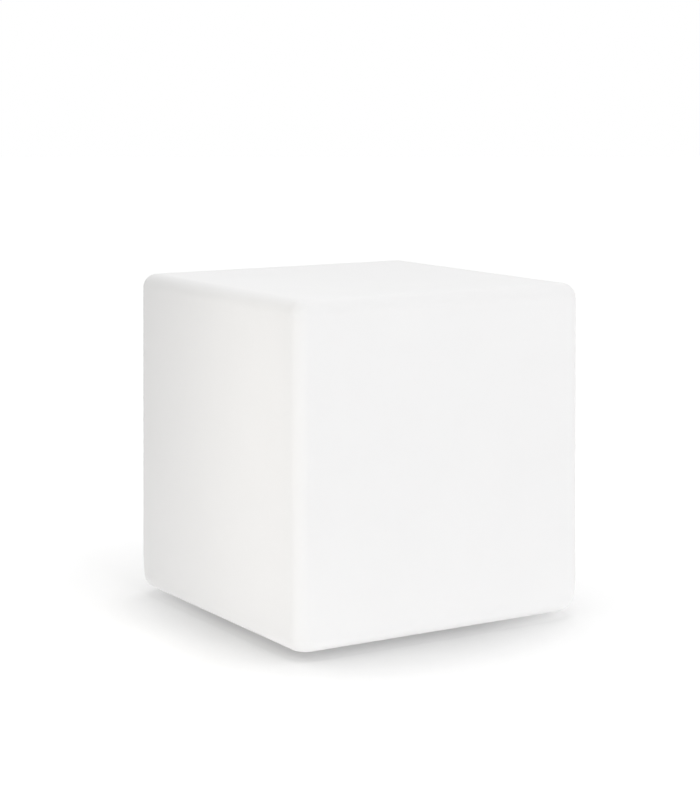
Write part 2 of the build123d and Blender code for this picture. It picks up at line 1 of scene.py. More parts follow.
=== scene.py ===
# %% [markdown]
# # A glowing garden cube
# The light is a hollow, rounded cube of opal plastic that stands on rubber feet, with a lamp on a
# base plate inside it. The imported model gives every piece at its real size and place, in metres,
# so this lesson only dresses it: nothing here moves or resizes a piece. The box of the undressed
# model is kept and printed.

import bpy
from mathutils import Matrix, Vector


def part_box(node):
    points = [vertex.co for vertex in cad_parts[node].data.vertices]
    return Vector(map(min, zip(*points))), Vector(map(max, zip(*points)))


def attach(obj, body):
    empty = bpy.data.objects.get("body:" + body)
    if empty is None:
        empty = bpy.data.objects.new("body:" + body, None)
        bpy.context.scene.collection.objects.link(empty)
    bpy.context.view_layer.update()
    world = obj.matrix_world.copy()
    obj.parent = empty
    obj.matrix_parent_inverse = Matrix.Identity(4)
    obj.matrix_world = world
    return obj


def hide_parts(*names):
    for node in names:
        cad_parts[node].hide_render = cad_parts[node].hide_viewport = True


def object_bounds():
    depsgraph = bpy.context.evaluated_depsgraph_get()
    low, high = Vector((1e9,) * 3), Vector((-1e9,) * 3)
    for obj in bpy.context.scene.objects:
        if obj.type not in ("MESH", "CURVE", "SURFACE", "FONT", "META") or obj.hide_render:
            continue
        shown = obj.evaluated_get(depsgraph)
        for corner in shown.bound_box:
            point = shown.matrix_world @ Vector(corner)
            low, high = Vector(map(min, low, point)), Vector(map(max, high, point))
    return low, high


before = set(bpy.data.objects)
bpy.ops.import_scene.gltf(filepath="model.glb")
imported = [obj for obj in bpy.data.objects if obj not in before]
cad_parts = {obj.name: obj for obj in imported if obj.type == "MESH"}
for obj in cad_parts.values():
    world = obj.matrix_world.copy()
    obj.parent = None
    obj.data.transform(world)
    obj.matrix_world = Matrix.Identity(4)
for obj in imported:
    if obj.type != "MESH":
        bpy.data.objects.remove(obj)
model_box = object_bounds()
print("model box", [round(value, 4) for corner in model_box for value in corner])

# %% [markdown]
# ## Camera
# The viewpoint was worked out from the outline of the cube in the photograph: its rounded
# corners tell where the camera stood, how far it was turned and how long its lens was. It looks
# slightly down on the cube, with no shift, so the upright edges run together a little.

# %% Camera
import bpy
import bmesh
import math
from mathutils import Matrix, Vector

MM = 0.001
scene = bpy.context.scene
camera_place = Vector((-1.3607, -2.1886, 0.6554))
camera_tilt_down = 8.776
camera_turn_right = 31.743
camera_lens = 95.62

camera_data = bpy.data.cameras.new("photo_camera")
camera_data.sensor_width = 36
camera_data.lens = camera_lens
camera = bpy.data.objects.new("photo_camera", camera_data)
camera.location = camera_place
camera.rotation_euler = (math.radians(90 - camera_tilt_down), 0, math.radians(-camera_turn_right))
scene.collection.objects.link(camera)
scene.camera = camera
print("camera", round(camera_place.length, 3), "m from the cube's foot")

# %% [markdown]
# ## Helpers for nodes
# Paper, room and finishes are small networks of shader nodes. These helpers make a node, set or
# link its inputs, map one range of numbers onto another, and reckon with numbers. Another one
# tells what the camera sees from light that only bounces about.

# %% Node helpers
def set_inputs(tree, node, inputs):
    """Set each input of a node to a value, or link it to the output of another node."""
    for socket, value in inputs.items():
        if isinstance(value, bpy.types.NodeSocket):
            tree.links.new(value, node.inputs[socket])
        else:
            node.inputs[socket].default_value = value


def new_node(tree, kind, inputs, **settings):
    """A shader node with its settings and inputs."""
    node = tree.nodes.new("ShaderNode" + kind)
    for name, value in settings.items():
        setattr(node, name, value)
    set_inputs(tree, node, inputs)
    return node


def span(tree, value, start, end, low, high, easing="LINEAR"):
    """A number that runs from low to high while a value runs from start to end."""
    inputs = {"Value": value, "From Min": start, "From Max": end, "To Min": low, "To Max": high}
    return new_node(tree, "MapRange", inputs, interpolation_type=easing).outputs["Result"]


def reckon(tree, operation, *values):
    """What an operation makes of one or two numbers."""
    return new_node(tree, "Math", dict(enumerate(values)), operation=operation).outputs[0]


def seen_directly(tree):
    """1 for what the camera sees, also in a mirror or through glass, and 0 for other light."""
    path = new_node(tree, "LightPath", {}).outputs
    mirrored = reckon(tree, "MAXIMUM", path["Is Camera Ray"], path["Is Glossy Ray"])
    return reckon(tree, "MAXIMUM", mirrored, path["Is Transmission Ray"])


print("node helpers ready")

# %% [markdown]
# ## Floor
# A studio sweep of white paper has no horizon: it only shows the soft shadow under the object.
# One large sheet does that here. Where the object stands close over it, the paper looks darker, by
# how much of the room it is hidden from. A little light of its own, which only the camera, mirrors
# and glass see, lifts it to the white of the background, and fades towards the object so that the
# shadow stays. The sheet lies square to the camera, and its shade is deepest in the middle and
# lighter towards the sides, as in the photograph. For the light that bounces about the studio it
# is plain white paper.

# %% Paper
# Lengths are in metres. Tones, lifts and shares of open room are parts of one.
paper_white = 0.95
shade_reach = 0.17
shade_from, shade_to = 0.469, 1.0
shade_tone = 0.518
lift_near, lift_far = 0.142, 0.28
fade_from, fade_to = 0.324, 0.673
soft_from, soft_to = 0.21, 1.01
side_from, side_to = 0.13, 0.375
side_near, side_far = 0.083, 0.5
shade_middle = 0.016

paper = bpy.data.materials.new("studio_paper")
paper.use_nodes = True
tree = paper.node_tree
tree.nodes.clear()
seen = seen_directly(tree)
open_share = new_node(tree, "AmbientOcclusion", {"Distance": shade_reach}).outputs["AO"]
shaded_tone = span(tree, open_share, shade_from, shade_to, shade_tone, paper_white)
bounce_tone = span(tree, seen, 0, 1, paper_white, 0)
paper_tone = reckon(tree, "MAXIMUM", shaded_tone, bounce_tone)
matt = new_node(tree, "BsdfDiffuse", {"Color": paper_tone}).outputs[0]

sheet_place = new_node(tree, "TexCoord", {}).outputs["Object"]
across = new_node(tree, "SeparateXYZ", {"Vector": sheet_place}).outputs["X"]
aside = reckon(tree, "ABSOLUTE", reckon(tree, "ADD", across, shade_middle))
side_lift = span(tree, aside, side_from, side_to, side_near, side_far, "SMOOTHSTEP")
soft_lift = span(tree, open_share, soft_from, soft_to, side_lift, 0)
away = new_node(tree, "VectorMath", {0: sheet_place}, operation="LENGTH").outputs["Value"]
away_lift = span(tree, away, fade_from, fade_to, lift_near, lift_far, "SMOOTHSTEP")
paper_lift = reckon(tree, "MULTIPLY", seen, reckon(tree, "ADD", away_lift, soft_lift))
glow = new_node(tree, "Emission", {"Strength": paper_lift}).outputs[0]
paper_sum = new_node(tree, "AddShader", {0: matt, 1: glow}).outputs[0]
new_node(tree, "OutputMaterial", {"Surface": paper_sum})
print("paper with", len(tree.nodes), "nodes")

# %% Floor
floor_half = 14.0
floor_corners = [(-1, -1), (1, -1), (1, 1), (-1, 1)]
floor_points = [(x * floor_half, y * floor_half, 0) for x, y in floor_corners]
floor_mesh = bpy.data.meshes.new("studio_floor")
floor_mesh.from_pydata(floor_points, [], [(0, 1, 2, 3)])
floor_mesh.materials.append(paper)
studio_floor = bpy.data.objects.new("studio_floor", floor_mesh)
studio_floor.rotation_euler = (0, 0, math.radians(-camera_turn_right))
scene.collection.objects.link(studio_floor)
print("floor", 2 * floor_half, "m across")

# %% [markdown]
# ## Light
# The cube was photographed in a bright, even studio. A very broad light overhead whitens the top
# and the paper. A narrow, faintly warm strip near the front left makes the left face fade towards
# its far side, and a large soft box far in front evens out the front face. A pale wall behind
# keeps the back of the cube from going grey. In the photograph the lower edges stay as bright as
# the faces above them, as on a table that is lit from below, so a wide, faint lamp lies on the
# floor and shines up.

# %% Room
white = (1, 1, 1, 1)
wall_way = (0.53, 0.85, 0)
wall_from, wall_to = -0.2, 0.8
wall_level = 0.4

world = bpy.data.worlds.new("studio_room")
scene.world = world
world.use_nodes = True
tree = world.node_tree
tree.nodes.clear()
view_way = new_node(tree, "TexCoord", {}).outputs["Generated"]
to_wall = new_node(tree, "VectorMath", {0: view_way, 1: wall_way}, operation="DOT_PRODUCT").outputs["Value"]
wall_strength = span(tree, to_wall, wall_from, wall_to, 0, wall_level)
pale_wall = new_node(tree, "Background", {"Color": white, "Strength": wall_strength}).outputs[0]
backdrop = new_node(tree, "Background", {"Color": white}).outputs[0]
room = new_node(tree, "MixShader", {0: seen_directly(tree), 1: pale_wall, 2: backdrop}).outputs[0]
new_node(tree, "OutputWorld", {"Surface": room})
print("wall level", wall_level)

# %% Lamps
cube_middle = (model_box[0] + model_box[1]) / 2
overhead_level = 2.12
overhead_spread = math.radians(120)
strip_place = (-0.54, -0.155, 0.30)
strip_width, strip_height = 0.12, 0.6
strip_watts = 0.523
strip_tint = (1.0, 0.97, 0.91)
front_place = (0.2, -3.0, 1.2)
front_width = 1.5
front_watts = 31.3
table_watts = 0.343
table_width = 0.8
table_height = 0.002


def new_lamp(name, kind, energy, place):
    """A lamp at a place, which shines down until it is turned."""
    light = bpy.data.lights.new(name, kind)
    light.energy = energy
    lamp = bpy.data.objects.new(name, light)
    lamp.location = place
    scene.collection.objects.link(lamp)
    return lamp


def soft_box(name, place, width, height, watts):
    """An upright lamp that the camera does not see, turned to the middle of the cube."""
    box = new_lamp(name, "AREA", watts, place)
    box.data.shape = "RECTANGLE"
    box.data.size = width
    box.data.size_y = height
    box.rotation_euler = (Vector(place) - cube_middle).to_track_quat("Z", "Y").to_euler()
    box.visible_camera = False
    return box


overhead = new_lamp("overhead", "SUN", overhead_level, (0, 0, 0))
overhead.data.angle = overhead_spread
strip = soft_box("near_left_box", strip_place, strip_width, strip_height, strip_watts)
strip.data.color = strip_tint
strip.visible_glossy = False
soft_box("front_box", front_place, front_width, front_width, front_watts)
light_table = new_lamp("light_table", "AREA", table_watts, (0, 0, table_height))
light_table.data.size = table_width
light_table.rotation_euler = (math.pi, 0, 0)
light_table.visible_camera = False
print("lamps", len(bpy.data.lights))

# %% [markdown]
# ## Helpers for shapes
# Most pieces here are skins over a stack of rings: a ring is a closed row of points round an
# axis, and each ring is joined to the next by four-sided faces. A ring of one point closes an
# end. The same helper makes turned parts, screw threads and the rounded cube itself.

# %% Shape helpers
turned_steps = 48


def smooth(mesh, sharp_degrees=32):
    """Shade a mesh smooth, but for its sharp edges."""
    mesh.shade_smooth()
    mesh.set_sharp_from_angle(angle=math.radians(sharp_degrees))


def new_piece(name, bm, sharp_degrees=32):
    """Make an object of a finished bmesh."""
    bmesh.ops.recalc_face_normals(bm, faces=bm.faces)
    mesh = bpy.data.meshes.new(name)
    bm.to_mesh(mesh)
    bm.free()
    smooth(mesh, sharp_degrees)
    piece = bpy.data.objects.new(name, mesh)
    scene.collection.objects.link(piece)
    return piece


def add_skin(bm, rings, closed=False):
    """Join each ring to the next. closed joins the last ring to the first, as round a tube wall."""
    rows = [[bm.verts.new(point) for point in ring] for ring in rings]
    pairs = list(zip(rows, rows[1:]))
    if closed:
        pairs.append((rows[-1], rows[0]))
    for low, high in pairs:
        steps = max(len(low), len(high))
        for i in range(steps):
            j = (i + 1) % steps
            corners = [low[i % len(low)], low[j % len(low)], high[j % len(high)], high[i % len(high)]]
            bm.faces.new(list(dict.fromkeys(corners)))


def ring_of(reach, height, middle=(0, 0), steps=turned_steps):
    """A closed row of points at a height. reach tells how far out each lies, by turn and height."""
    ring = []
    for i in range(steps):
        turn = 2 * math.pi * i / steps
        far = reach(turn, height)
        ring.append((middle[0] + far * math.cos(turn), middle[1] + far * math.sin(turn), height))
    return ring


def round_ring(radius, height, middle=(0, 0), steps=turned_steps):
    """A circle of points at a height, or one point where the radius is nothing."""
    if radius == 0:
        return [(middle[0], middle[1], height)]
    return ring_of(lambda turn, height: radius, height, middle, steps)


def round_rings(steps, middle, *stations):
    """Circles at (radius, height) stations."""
    return [round_ring(radius, height, middle, steps) for radius, height in stations]


print("shape helpers ready")

# %% [markdown]
# ## Helpers for finishes
# A real surface is never one flat colour. Each finish here mixes its colour, its roughness and
# its fine relief from noise measured in the object's own space, so a grain of half a millimetre
# is half a millimetre on every piece, and it rides along when a piece moves.

# %% Finish helpers
def new_finish(name):
    """A node material with its main shader, ready to be wired."""
    finish = bpy.data.materials.new(name)
    finish.use_nodes = True
    return finish, finish.node_tree, finish.node_tree.nodes["Principled BSDF"]


def grain(tree, size, detail=2.0, stretch=(1, 1, 1)):
    """Noise with grains of a given size in metres, drawn out along an axis by a small stretch."""
    place = new_node(tree, "TexCoord", {}).outputs["Object"]
    mapped = new_node(tree, "Mapping", {"Vector": place, "Scale": stretch}).outputs["Vector"]
    return new_node(tree, "TexNoise", {"Vector": mapped, "Scale": 1 / size, "Detail": detail}).outputs["Fac"]


def colour_between(tree, factor, low, high, low_end=0.3, high_end=0.7):
    """A colour that runs from low to high with a factor."""
    ramp = new_node(tree, "ValToRGB", {"Fac": factor})
    for element, end, colour in zip(ramp.color_ramp.elements, (low_end, high_end), (low, high)):
        element.position = end
        element.color = (*colour, 1)
    return ramp.outputs["Color"]


def sheen(tree, factor, smoothest, roughest):
    """A roughness that runs between two values with a factor."""
    return span(tree, factor, 0, 1, smoothest, roughest)


def relief(tree, factor, depth):
    """Fine bumps of a given depth in metres."""
    return new_node(tree, "Bump", {"Strength": 1.0, "Distance": depth, "Height": factor}).outputs["Normal"]


def dress(piece, finish):
    """Give a piece its one finish."""
    piece.data.materials.clear()
    piece.data.materials.append(finish)


def stand_for(node, piece, body, finish, slot):
    """Let a finished piece take the place of a packed one, on its body."""
    dress(piece, finish)
    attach(piece, body)
    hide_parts(node)
    return piece


def place_piece(node, name, skins, body, finish, slot, closed=True):
    """One or more skins of rings, as a piece that stands for a packed one."""
    bm = bmesh.new()
    for rings in skins:
        add_skin(bm, rings, closed=closed)
    return stand_for(node, new_piece(name, bm), body, finish, slot)


print("finish helpers ready")

# %% [markdown]
# ## Opal polyethylene
# The shell is moulded from opal polyethylene powder that melts onto the inside of a hot, turning
# mould. It comes out waxy white, a little uneven in thickness, and with the fine dull grain of
# the mould on its skin. So the colour drifts by under a percent, the sheen is broad, and the
# grain is half a millimetre.

# %% Opal finish
opal, tree, shader = new_finish("opal_polyethylene")
cloud = grain(tree, 60 * MM)
skin_grain = grain(tree, 0.5 * MM)
set_inputs(tree, shader, {
    "Base Color": colour_between(tree, cloud, (0.908, 0.906, 0.906), (0.914, 0.912, 0.912)),
    "Roughness": sheen(tree, skin_grain, 0.46, 0.56),
    "Normal": relief(tree, skin_grain, 0.012 * MM),
    "Specular IOR Level": 0.25,
})
print("finish", opal.name)

# %% [markdown]
# ## The shell
# The cube narrows a little towards its top, so that it comes out of the mould, and every edge is
# rounded, the four lower corners a little more. It is one closed skin: over the top, down the
# sides, under the bottom, up into the round well, through its mouth, and back along the inside at
# an even wall. Going round, each point of a ring lies on a ray from the middle, so a ring can be a
# square, a rounded square or a circle and still join its neighbours point by point. The panels are
# drawn in by just under a millimetre, as plastic shrinks when it cools.

# %% Shell sizes
shell_low, shell_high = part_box("diffuser_shell")
seat_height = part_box("threaded_inserts")[0].z
draft = math.radians(0.6)
edge_radius = 18 * MM
foot_corner = 28 * MM
foot_rise = 50 * MM
wall = 4 * MM
well_radius = 142 * MM
mouth_radius = 112 * MM
rim_radius = 2.5 * MM
panel_sink = 0.8 * MM
margin = 2 * MM

foot_height = shell_low.z
top_height = shell_high.z
widest = (shell_high.x - shell_low.x) / 2
ball_low = foot_height + edge_radius
ball_high = top_height - edge_radius


def side_at(height):
    """Half the width of the outside at a height."""
    return widest - (height - ball_low) * math.tan(draft)


def ray_radius(half, corner, turn):
    """How far from the middle a ray leaves a square of rounded corners."""
    long = max(abs(math.cos(turn)), abs(math.sin(turn)))
    short = min(abs(math.cos(turn)), abs(math.sin(turn)))
    flat = half - corner
    if short / long * half <= flat or corner == 0:
        return half / long
    total = flat * (long + short)
    return total + math.sqrt(total**2 - 2 * flat**2 + corner**2)


side_steps = 12
corner_steps = 12
flat_half = widest - edge_radius
side_stops = [flat_half * i / side_steps for i in range(side_steps)]
side_stops += [widest - foot_corner, flat_half - margin, flat_half]
side_turns = [math.atan2(stop, widest) for stop in side_stops]
corner_start = side_turns[-1]
corner_span = math.pi / 4 - corner_start
corner_turns = [corner_start + corner_span * (i + 1) / corner_steps for i in range(corner_steps)]
eighth = side_turns + corner_turns
quarter = eighth + [math.pi / 2 - turn for turn in reversed(eighth[1:-1])]
shell_turns = [turn + math.pi / 2 * k for k in range(4) for turn in quarter]
print("shell ring of", len(shell_turns), "points")


# %% Shell rings
def square_ring(half, corner, height):
    """A rounded square of points."""
    spokes = [(ray_radius(half, corner, turn), turn) for turn in shell_turns]
    return [Vector((far * math.cos(turn), far * math.sin(turn), height)) for far, turn in spokes]


def disc_ring(radius, height):
    """A circle of points on the same rays."""
    return [Vector((radius * math.cos(turn), radius * math.sin(turn), height)) for turn in shell_turns]


def between_rings(start, end, steps):
    """Rings that pass evenly from one ring to another, without the first."""
    return [[a.lerp(b, i / steps) for a, b in zip(start, end)] for i in range(1, steps + 1)]


def rounder_by(height):
    """How much rounder the upright edges are near the foot than higher up."""
    share = min((height - foot_height) / foot_rise, 1)
    return (foot_corner - edge_radius) * (1 - share) ** 2


def rounded_side(radius, inset, steps=12, rows=14, foot_rows=5):
    """Rings down one skin of the wall: top rounding, side and bottom rounding."""
    ball_out_high = side_at(ball_high) - edge_radius / math.cos(draft)
    ball_out_low = side_at(ball_low) - edge_radius / math.cos(draft)
    rings = []
    for i in range(steps + 1):
        lift = math.pi / 2 + (draft - math.pi / 2) * i / steps
        reach = radius * math.cos(lift)
        height = ball_high + radius * math.sin(lift)
        rings.append(square_ring(ball_out_high + reach, max(reach, 0), height))
    last_high = ball_high + radius * math.sin(draft)
    last_low = ball_low + radius * math.sin(draft)
    foot_span = foot_rise - edge_radius
    heights = [last_high - margin]
    heights += [last_high - (last_high - last_low) * i / rows for i in range(1, rows - 1)]
    heights += [last_low + foot_span * i / foot_rows for i in range(foot_rows, 0, -1)]
    heights.append(last_low + margin)
    for height in heights:
        half = side_at(height) - inset / math.cos(draft)
        rings.append(square_ring(half, radius + rounder_by(height), height))
    for i in range(steps + 1):
        lift = draft - (draft + math.pi / 2) * i / steps
        reach = radius * math.cos(lift)
        height = ball_low + radius * math.sin(lift)
        rings.append(square_ring(ball_out_low + reach, max(reach, 0) + rounder_by(height), height))
    return rings


def lid_rings(edge_ring, rows=6):
    """Rings from the middle of the top out to the ring where its rounding starts."""
    middle = Vector((0, 0, edge_ring[0].z))
    return [[middle]] + [[middle.lerp(point, i / rows) for point in edge_ring] for i in range(1, rows)]


outer = rounded_side(edge_radius, 0)
inner = rounded_side(edge_radius - wall, wall)
rim_steps = 4
rim_turns = [math.pi / 2 * i / rim_steps for i in range(rim_steps + 1)]
rim_stations = [(1 - math.sin(turn), 1 - math.cos(turn)) for turn in rim_turns]
rim = [disc_ring(well_radius + rim_radius * out, foot_height + rim_radius * up) for out, up in rim_stations]
underside = between_rings(outer[-1], rim[0], 6)[:-1]
well = [disc_ring(well_radius, seat_height)]
seat = between_rings(well[0], disc_ring(mouth_radius, seat_height), 4)
roof = [disc_ring(mouth_radius, seat_height + wall), disc_ring(well_radius + wall, seat_height + wall)]
inner_floor = between_rings(disc_ring(well_radius + wall, foot_height + wall), inner[-1], 5)[:-1]
inner_low = [disc_ring(well_radius + wall, foot_height + wall)] + inner_floor
shell_rings = (
    lid_rings(outer[0]) + outer + underside + rim + well + seat + roof
    + inner_low + inner[::-1] + lid_rings(inner[0])[::-1]
)
print("shell of", len(shell_rings), "rings")


# %% Sink the panels
def dip(along, reach):
    """1 in the middle of a panel, easing to nothing at its edge."""
    share = min(abs(along) / reach, 1)
    return (1 - share**2) ** 2


panel_middle = (ball_low + ball_high) / 2
panel_reach = (ball_high - ball_low) / 2
lid_height = ball_high + (edge_radius - wall) * 0.98
panel_start = flat_half * 0.9


def drawn_in(point):
    """A point of the skin, moved in with the panel that it lies on."""
    upright = dip(point.z - panel_middle, panel_reach)
    moved = point.copy()
    if point.z >= lid_height:
        moved.z -= panel_sink * dip(point.x, flat_half) * dip(point.y, flat_half)
    elif max(abs(point.x), abs(point.y)) > panel_start and upright > 0:
        if abs(point.x) > abs(point.y):
            moved.x -= math.copysign(panel_sink * upright * dip(point.y, flat_half), point.x)
        else:
            moved.y -= math.copysign(panel_sink * upright * dip(point.x, flat_half), point.y)
    return moved


shell_skin = [[drawn_in(point) for point in ring] for ring in shell_rings]
opal_shell = place_piece(
    "diffuser_shell", "opal_shell", [shell_skin], "shell", opal, "opal_polyethylene", closed=False
)
print("shell faces", len(opal_shell.data.polygons))

# %% [markdown]
# ## Sockets for the inserts
# Four hollow bosses stand on the roof of the well, and each holds a brass nut. A boss is a short
# upright drum that is joined to the shell, and its socket is then cut up through seat and boss.
# Blender's Boolean does both, because a drum on a flat roof needs no finer blend.

# %% Bosses and sockets
def settle(piece):
    """Work a piece's modifiers into its mesh."""
    bpy.context.view_layer.update()
    worked = piece.evaluated_get(bpy.context.evaluated_depsgraph_get())
    settled = bpy.data.meshes.new_from_object(worked)
    piece.modifiers.clear()
    old = piece.data
    piece.data = settled
    settled.name = piece.name
    bpy.data.meshes.remove(old)


def shaped_by(piece, tool, operation):
    """Join a tool mesh to a piece, or cut it out of the piece, and throw the tool away."""
    step = piece.modifiers.new("shape", "BOOLEAN")
    step.operation = operation
    step.solver = "EXACT"
    step.object = tool
    settle(piece)
    bpy.data.objects.remove(tool)


def drums(name, places, rings):
    """One mesh of equal turned bodies, each a stack of (radius, height), at several places."""
    bm = bmesh.new()
    for place in places:
        add_skin(bm, round_rings(turned_steps, place, *rings))
    return new_piece(name, bm)


insert_low, insert_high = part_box("threaded_inserts")
insert_radius = 4.5 * MM
insert_circle = insert_high.x - insert_radius
screw_places = [(insert_circle, 0), (0, insert_circle), (-insert_circle, 0), (0, -insert_circle)]
boss_radius = insert_radius + wall
boss_top = insert_high.z + 3 * MM
boss_foot = seat_height + wall / 2
boss_rings = [
    (0, boss_foot), (boss_radius, boss_foot), (boss_radius, boss_top - 1.5 * MM),
    (boss_radius - 0.5 * MM, boss_top - 0.4 * MM), (boss_radius - 1.5 * MM, boss_top), (0, boss_top),
]
shaped_by(opal_shell, drums("bosses", screw_places, boss_rings), "UNION")
pocket_room = 0.05 * MM
pocket_radius = insert_radius + pocket_room
pocket_low = seat_height - MM
pocket_rings = [
    (0, pocket_low), (pocket_radius, pocket_low), (pocket_radius, insert_high.z), (0, insert_high.z),
]
shaped_by(opal_shell, drums("sockets", screw_places, pocket_rings), "DIFFERENCE")
smooth(opal_shell.data)
print("shell faces with bosses", len(opal_shell.data.polygons))

# %% [markdown]
# ## Metals
# Turned brass is warm and shows fine rings from the lathe. Bright zinc plate is a cool grey with
# a faint patchy bloom. Stainless screws are a darker, cleaner grey. Nickel on the lamp cap and the
# socket is smoother and a little yellow. All are fully metallic, so colour and roughness carry them.

# %% Metal finishes
def metal(name, low, high, rough, patch, scratch, stretch):
    """A metal with patches of tone and fine drawn-out marks, both in millimetres."""
    finish, tree, shader = new_finish(name)
    marks = grain(tree, scratch * MM, 3.0, stretch)
    set_inputs(tree, shader, {
        "Metallic": 1.0,
        "Base Color": colour_between(tree, grain(tree, patch * MM, 4.0), low, high),
        "Roughness": sheen(tree, marks, *rough),
        "Normal": relief(tree, marks, 0.006 * MM),
    })
    return finish


even = (1, 1, 1)
lathe = (0.15, 0.15, 6.0)
brass = metal("turned_brass", (0.62, 0.43, 0.17), (0.72, 0.52, 0.24), (0.22, 0.42), 3, 0.4, lathe)
zinc = metal("zinc_plate", (0.50, 0.52, 0.53), (0.64, 0.65, 0.65), (0.30, 0.48), 4, 0.5, even)
steel = metal("stainless_steel", (0.44, 0.44, 0.43), (0.54, 0.53, 0.52), (0.22, 0.38), 3, 0.4, lathe)
nickel = metal("nickel_plate", (0.60, 0.57, 0.51), (0.68, 0.65, 0.59), (0.16, 0.30), 5, 0.5, lathe)
print("metals", brass.name, zinc.name, steel.name, nickel.name)

# %% [markdown]
# ## Plastics, rubber and glaze
# Moulded plastics differ in their sheen and in the texture of the mould: the base plate has a
# dull spark-eroded grain, nylon is smoother and a little waxy, and the lampholder is glossy.
# Rubber is nearly black, dull and dusty. The ceramic core has a glaze with faint speckles.

# %% Plastic finishes
def moulded(name, low, high, rough, pore, depth):
    """A plastic or rubber with soft clouds of tone, and the pores of its mould in millimetres."""
    finish, tree, shader = new_finish(name)
    pores = grain(tree, pore * MM)
    set_inputs(tree, shader, {
        "Base Color": colour_between(tree, grain(tree, 18 * MM, 3.0), low, high),
        "Roughness": sheen(tree, pores, *rough),
        "Normal": relief(tree, pores, depth * MM),
    })
    return finish


base_plastic = moulded(
    "base_polypropylene", (0.525, 0.525, 0.52), (0.54, 0.54, 0.533), (0.42, 0.60), 0.7, 0.03
)
nylon = moulded("gland_nylon", (0.115, 0.118, 0.122), (0.140, 0.143, 0.147), (0.34, 0.50), 0.5, 0.012)
seal_rubber = moulded("seal_rubber", (0.030, 0.030, 0.031), (0.046, 0.045, 0.044), (0.62, 0.82), 0.4, 0.02)
foot_rubber = moulded("foot_rubber", (0.040, 0.040, 0.040), (0.066, 0.064, 0.061), (0.66, 0.88), 0.6, 0.05)
holder_gloss = moulded(
    "holder_phenolic", (0.020, 0.018, 0.017), (0.034, 0.029, 0.026), (0.16, 0.28), 1.2, 0.006
)
glaze = moulded("glazed_ceramic", (0.70, 0.69, 0.65), (0.78, 0.77, 0.74), (0.08, 0.22), 1.6, 0.015)
block_nylon = moulded("terminal_nylon", (0.64, 0.62, 0.56), (0.72, 0.70, 0.64), (0.30, 0.46), 0.6, 0.012)
brown_sheath = moulded(
    "brown_sheath", (0.085, 0.038, 0.019), (0.115, 0.052, 0.026), (0.26, 0.40), 0.8, 0.01
)
blue_sheath = moulded("blue_sheath", (0.018, 0.075, 0.24), (0.026, 0.100, 0.31), (0.26, 0.40), 0.8, 0.01)
black_glass = moulded("black_glass", (0.012, 0.012, 0.014), (0.022, 0.022, 0.025), (0.05, 0.14), 1.5, 0.006)
lamp_white = moulded("lamp_white", (0.80, 0.80, 0.78), (0.84, 0.84, 0.82), (0.24, 0.36), 0.9, 0.008)
print("plastics ready")

# %% [markdown]
# ## Lamp globe and light board
# The globe is frosted inside and looks like milk glass: light spreads in it, so it gets a little
# scattering below the surface. The board behind it is white lacquer with yellow light chips. One
# node carries both, so the height in the board's own space tells chip from lacquer.

# %% Lamp finishes
globe_opal, tree, shader = new_finish("lamp_opal")
frost = grain(tree, 0.4 * MM)
set_inputs(tree, shader, {
    "Base Color": colour_between(tree, grain(tree, 25 * MM), (0.84, 0.84, 0.82), (0.88, 0.88, 0.86)),
    "Roughness": sheen(tree, frost, 0.30, 0.42),
    "Normal": relief(tree, frost, 0.006 * MM),
    "Subsurface Weight": 0.25,
    "Subsurface Radius": (0.004, 0.004, 0.0035),
    "Subsurface Scale": 1.0,
})

board_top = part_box("lamp_led_board")[0].z + 1.6 * MM
chip_start = board_top + 0.05 * MM
light_board, tree, shader = new_finish("lamp_board")
lacquer = colour_between(tree, grain(tree, 8 * MM), (0.76, 0.77, 0.75), (0.82, 0.83, 0.81))
chip = colour_between(tree, grain(tree, 1.5 * MM), (0.78, 0.62, 0.12), (0.86, 0.72, 0.20))
board_place = new_node(tree, "TexCoord", {}).outputs["Object"]
board_height = new_node(tree, "SeparateXYZ", {"Vector": board_place}).outputs["Z"]
on_chip = reckon(tree, "GREATER_THAN", board_height, chip_start)
board_tone = new_node(tree, "Mix", {"Factor": on_chip, "A": lacquer, "B": chip}, data_type="RGBA")
set_inputs(tree, shader, {
    "Base Color": board_tone.outputs["Result"],
    "Roughness": sheen(tree, grain(tree, 0.6 * MM), 0.3, 0.5),
})
print("lamp finishes ready")

# %% [markdown]
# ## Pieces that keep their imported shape
# Turned and moulded pieces already have their final shape, with its rounded edges, in the packed
# model. They only get the finish that the real piece would have.

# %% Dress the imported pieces
kept_pieces = {
    "base_gasket": seal_rubber,
    "screw_washers": steel,
    "gland_seal_ring": seal_rubber,
    "gland_insert": seal_rubber,
    "holder_dome": holder_gloss,
    "holder_core": glaze,
    "holder_contact": brass,
    "terminal_sleeves": brass,
    "live_wire": brown_sheath,
    "neutral_wire": blue_sheath,
    "lamp_contact": nickel,
    "lamp_insulator": black_glass,
    "lamp_collar": lamp_white,
    "lamp_led_board": light_board,
    "lamp_globe": globe_opal,
}
for node, finish in kept_pieces.items():
    dress(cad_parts[node], finish)
print(len(kept_pieces), "packed pieces dressed")

# %% [markdown]
# ## Base plate
# The base plate is an injection moulding: a flange that closes the well, a raised middle that
# carries the lampholder, and ribs underneath that stiffen it. No mould leaves a perfectly sharp
# edge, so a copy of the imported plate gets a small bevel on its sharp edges. The large faces then
# set the shading, so a flat face looks flat right up to its bevel.

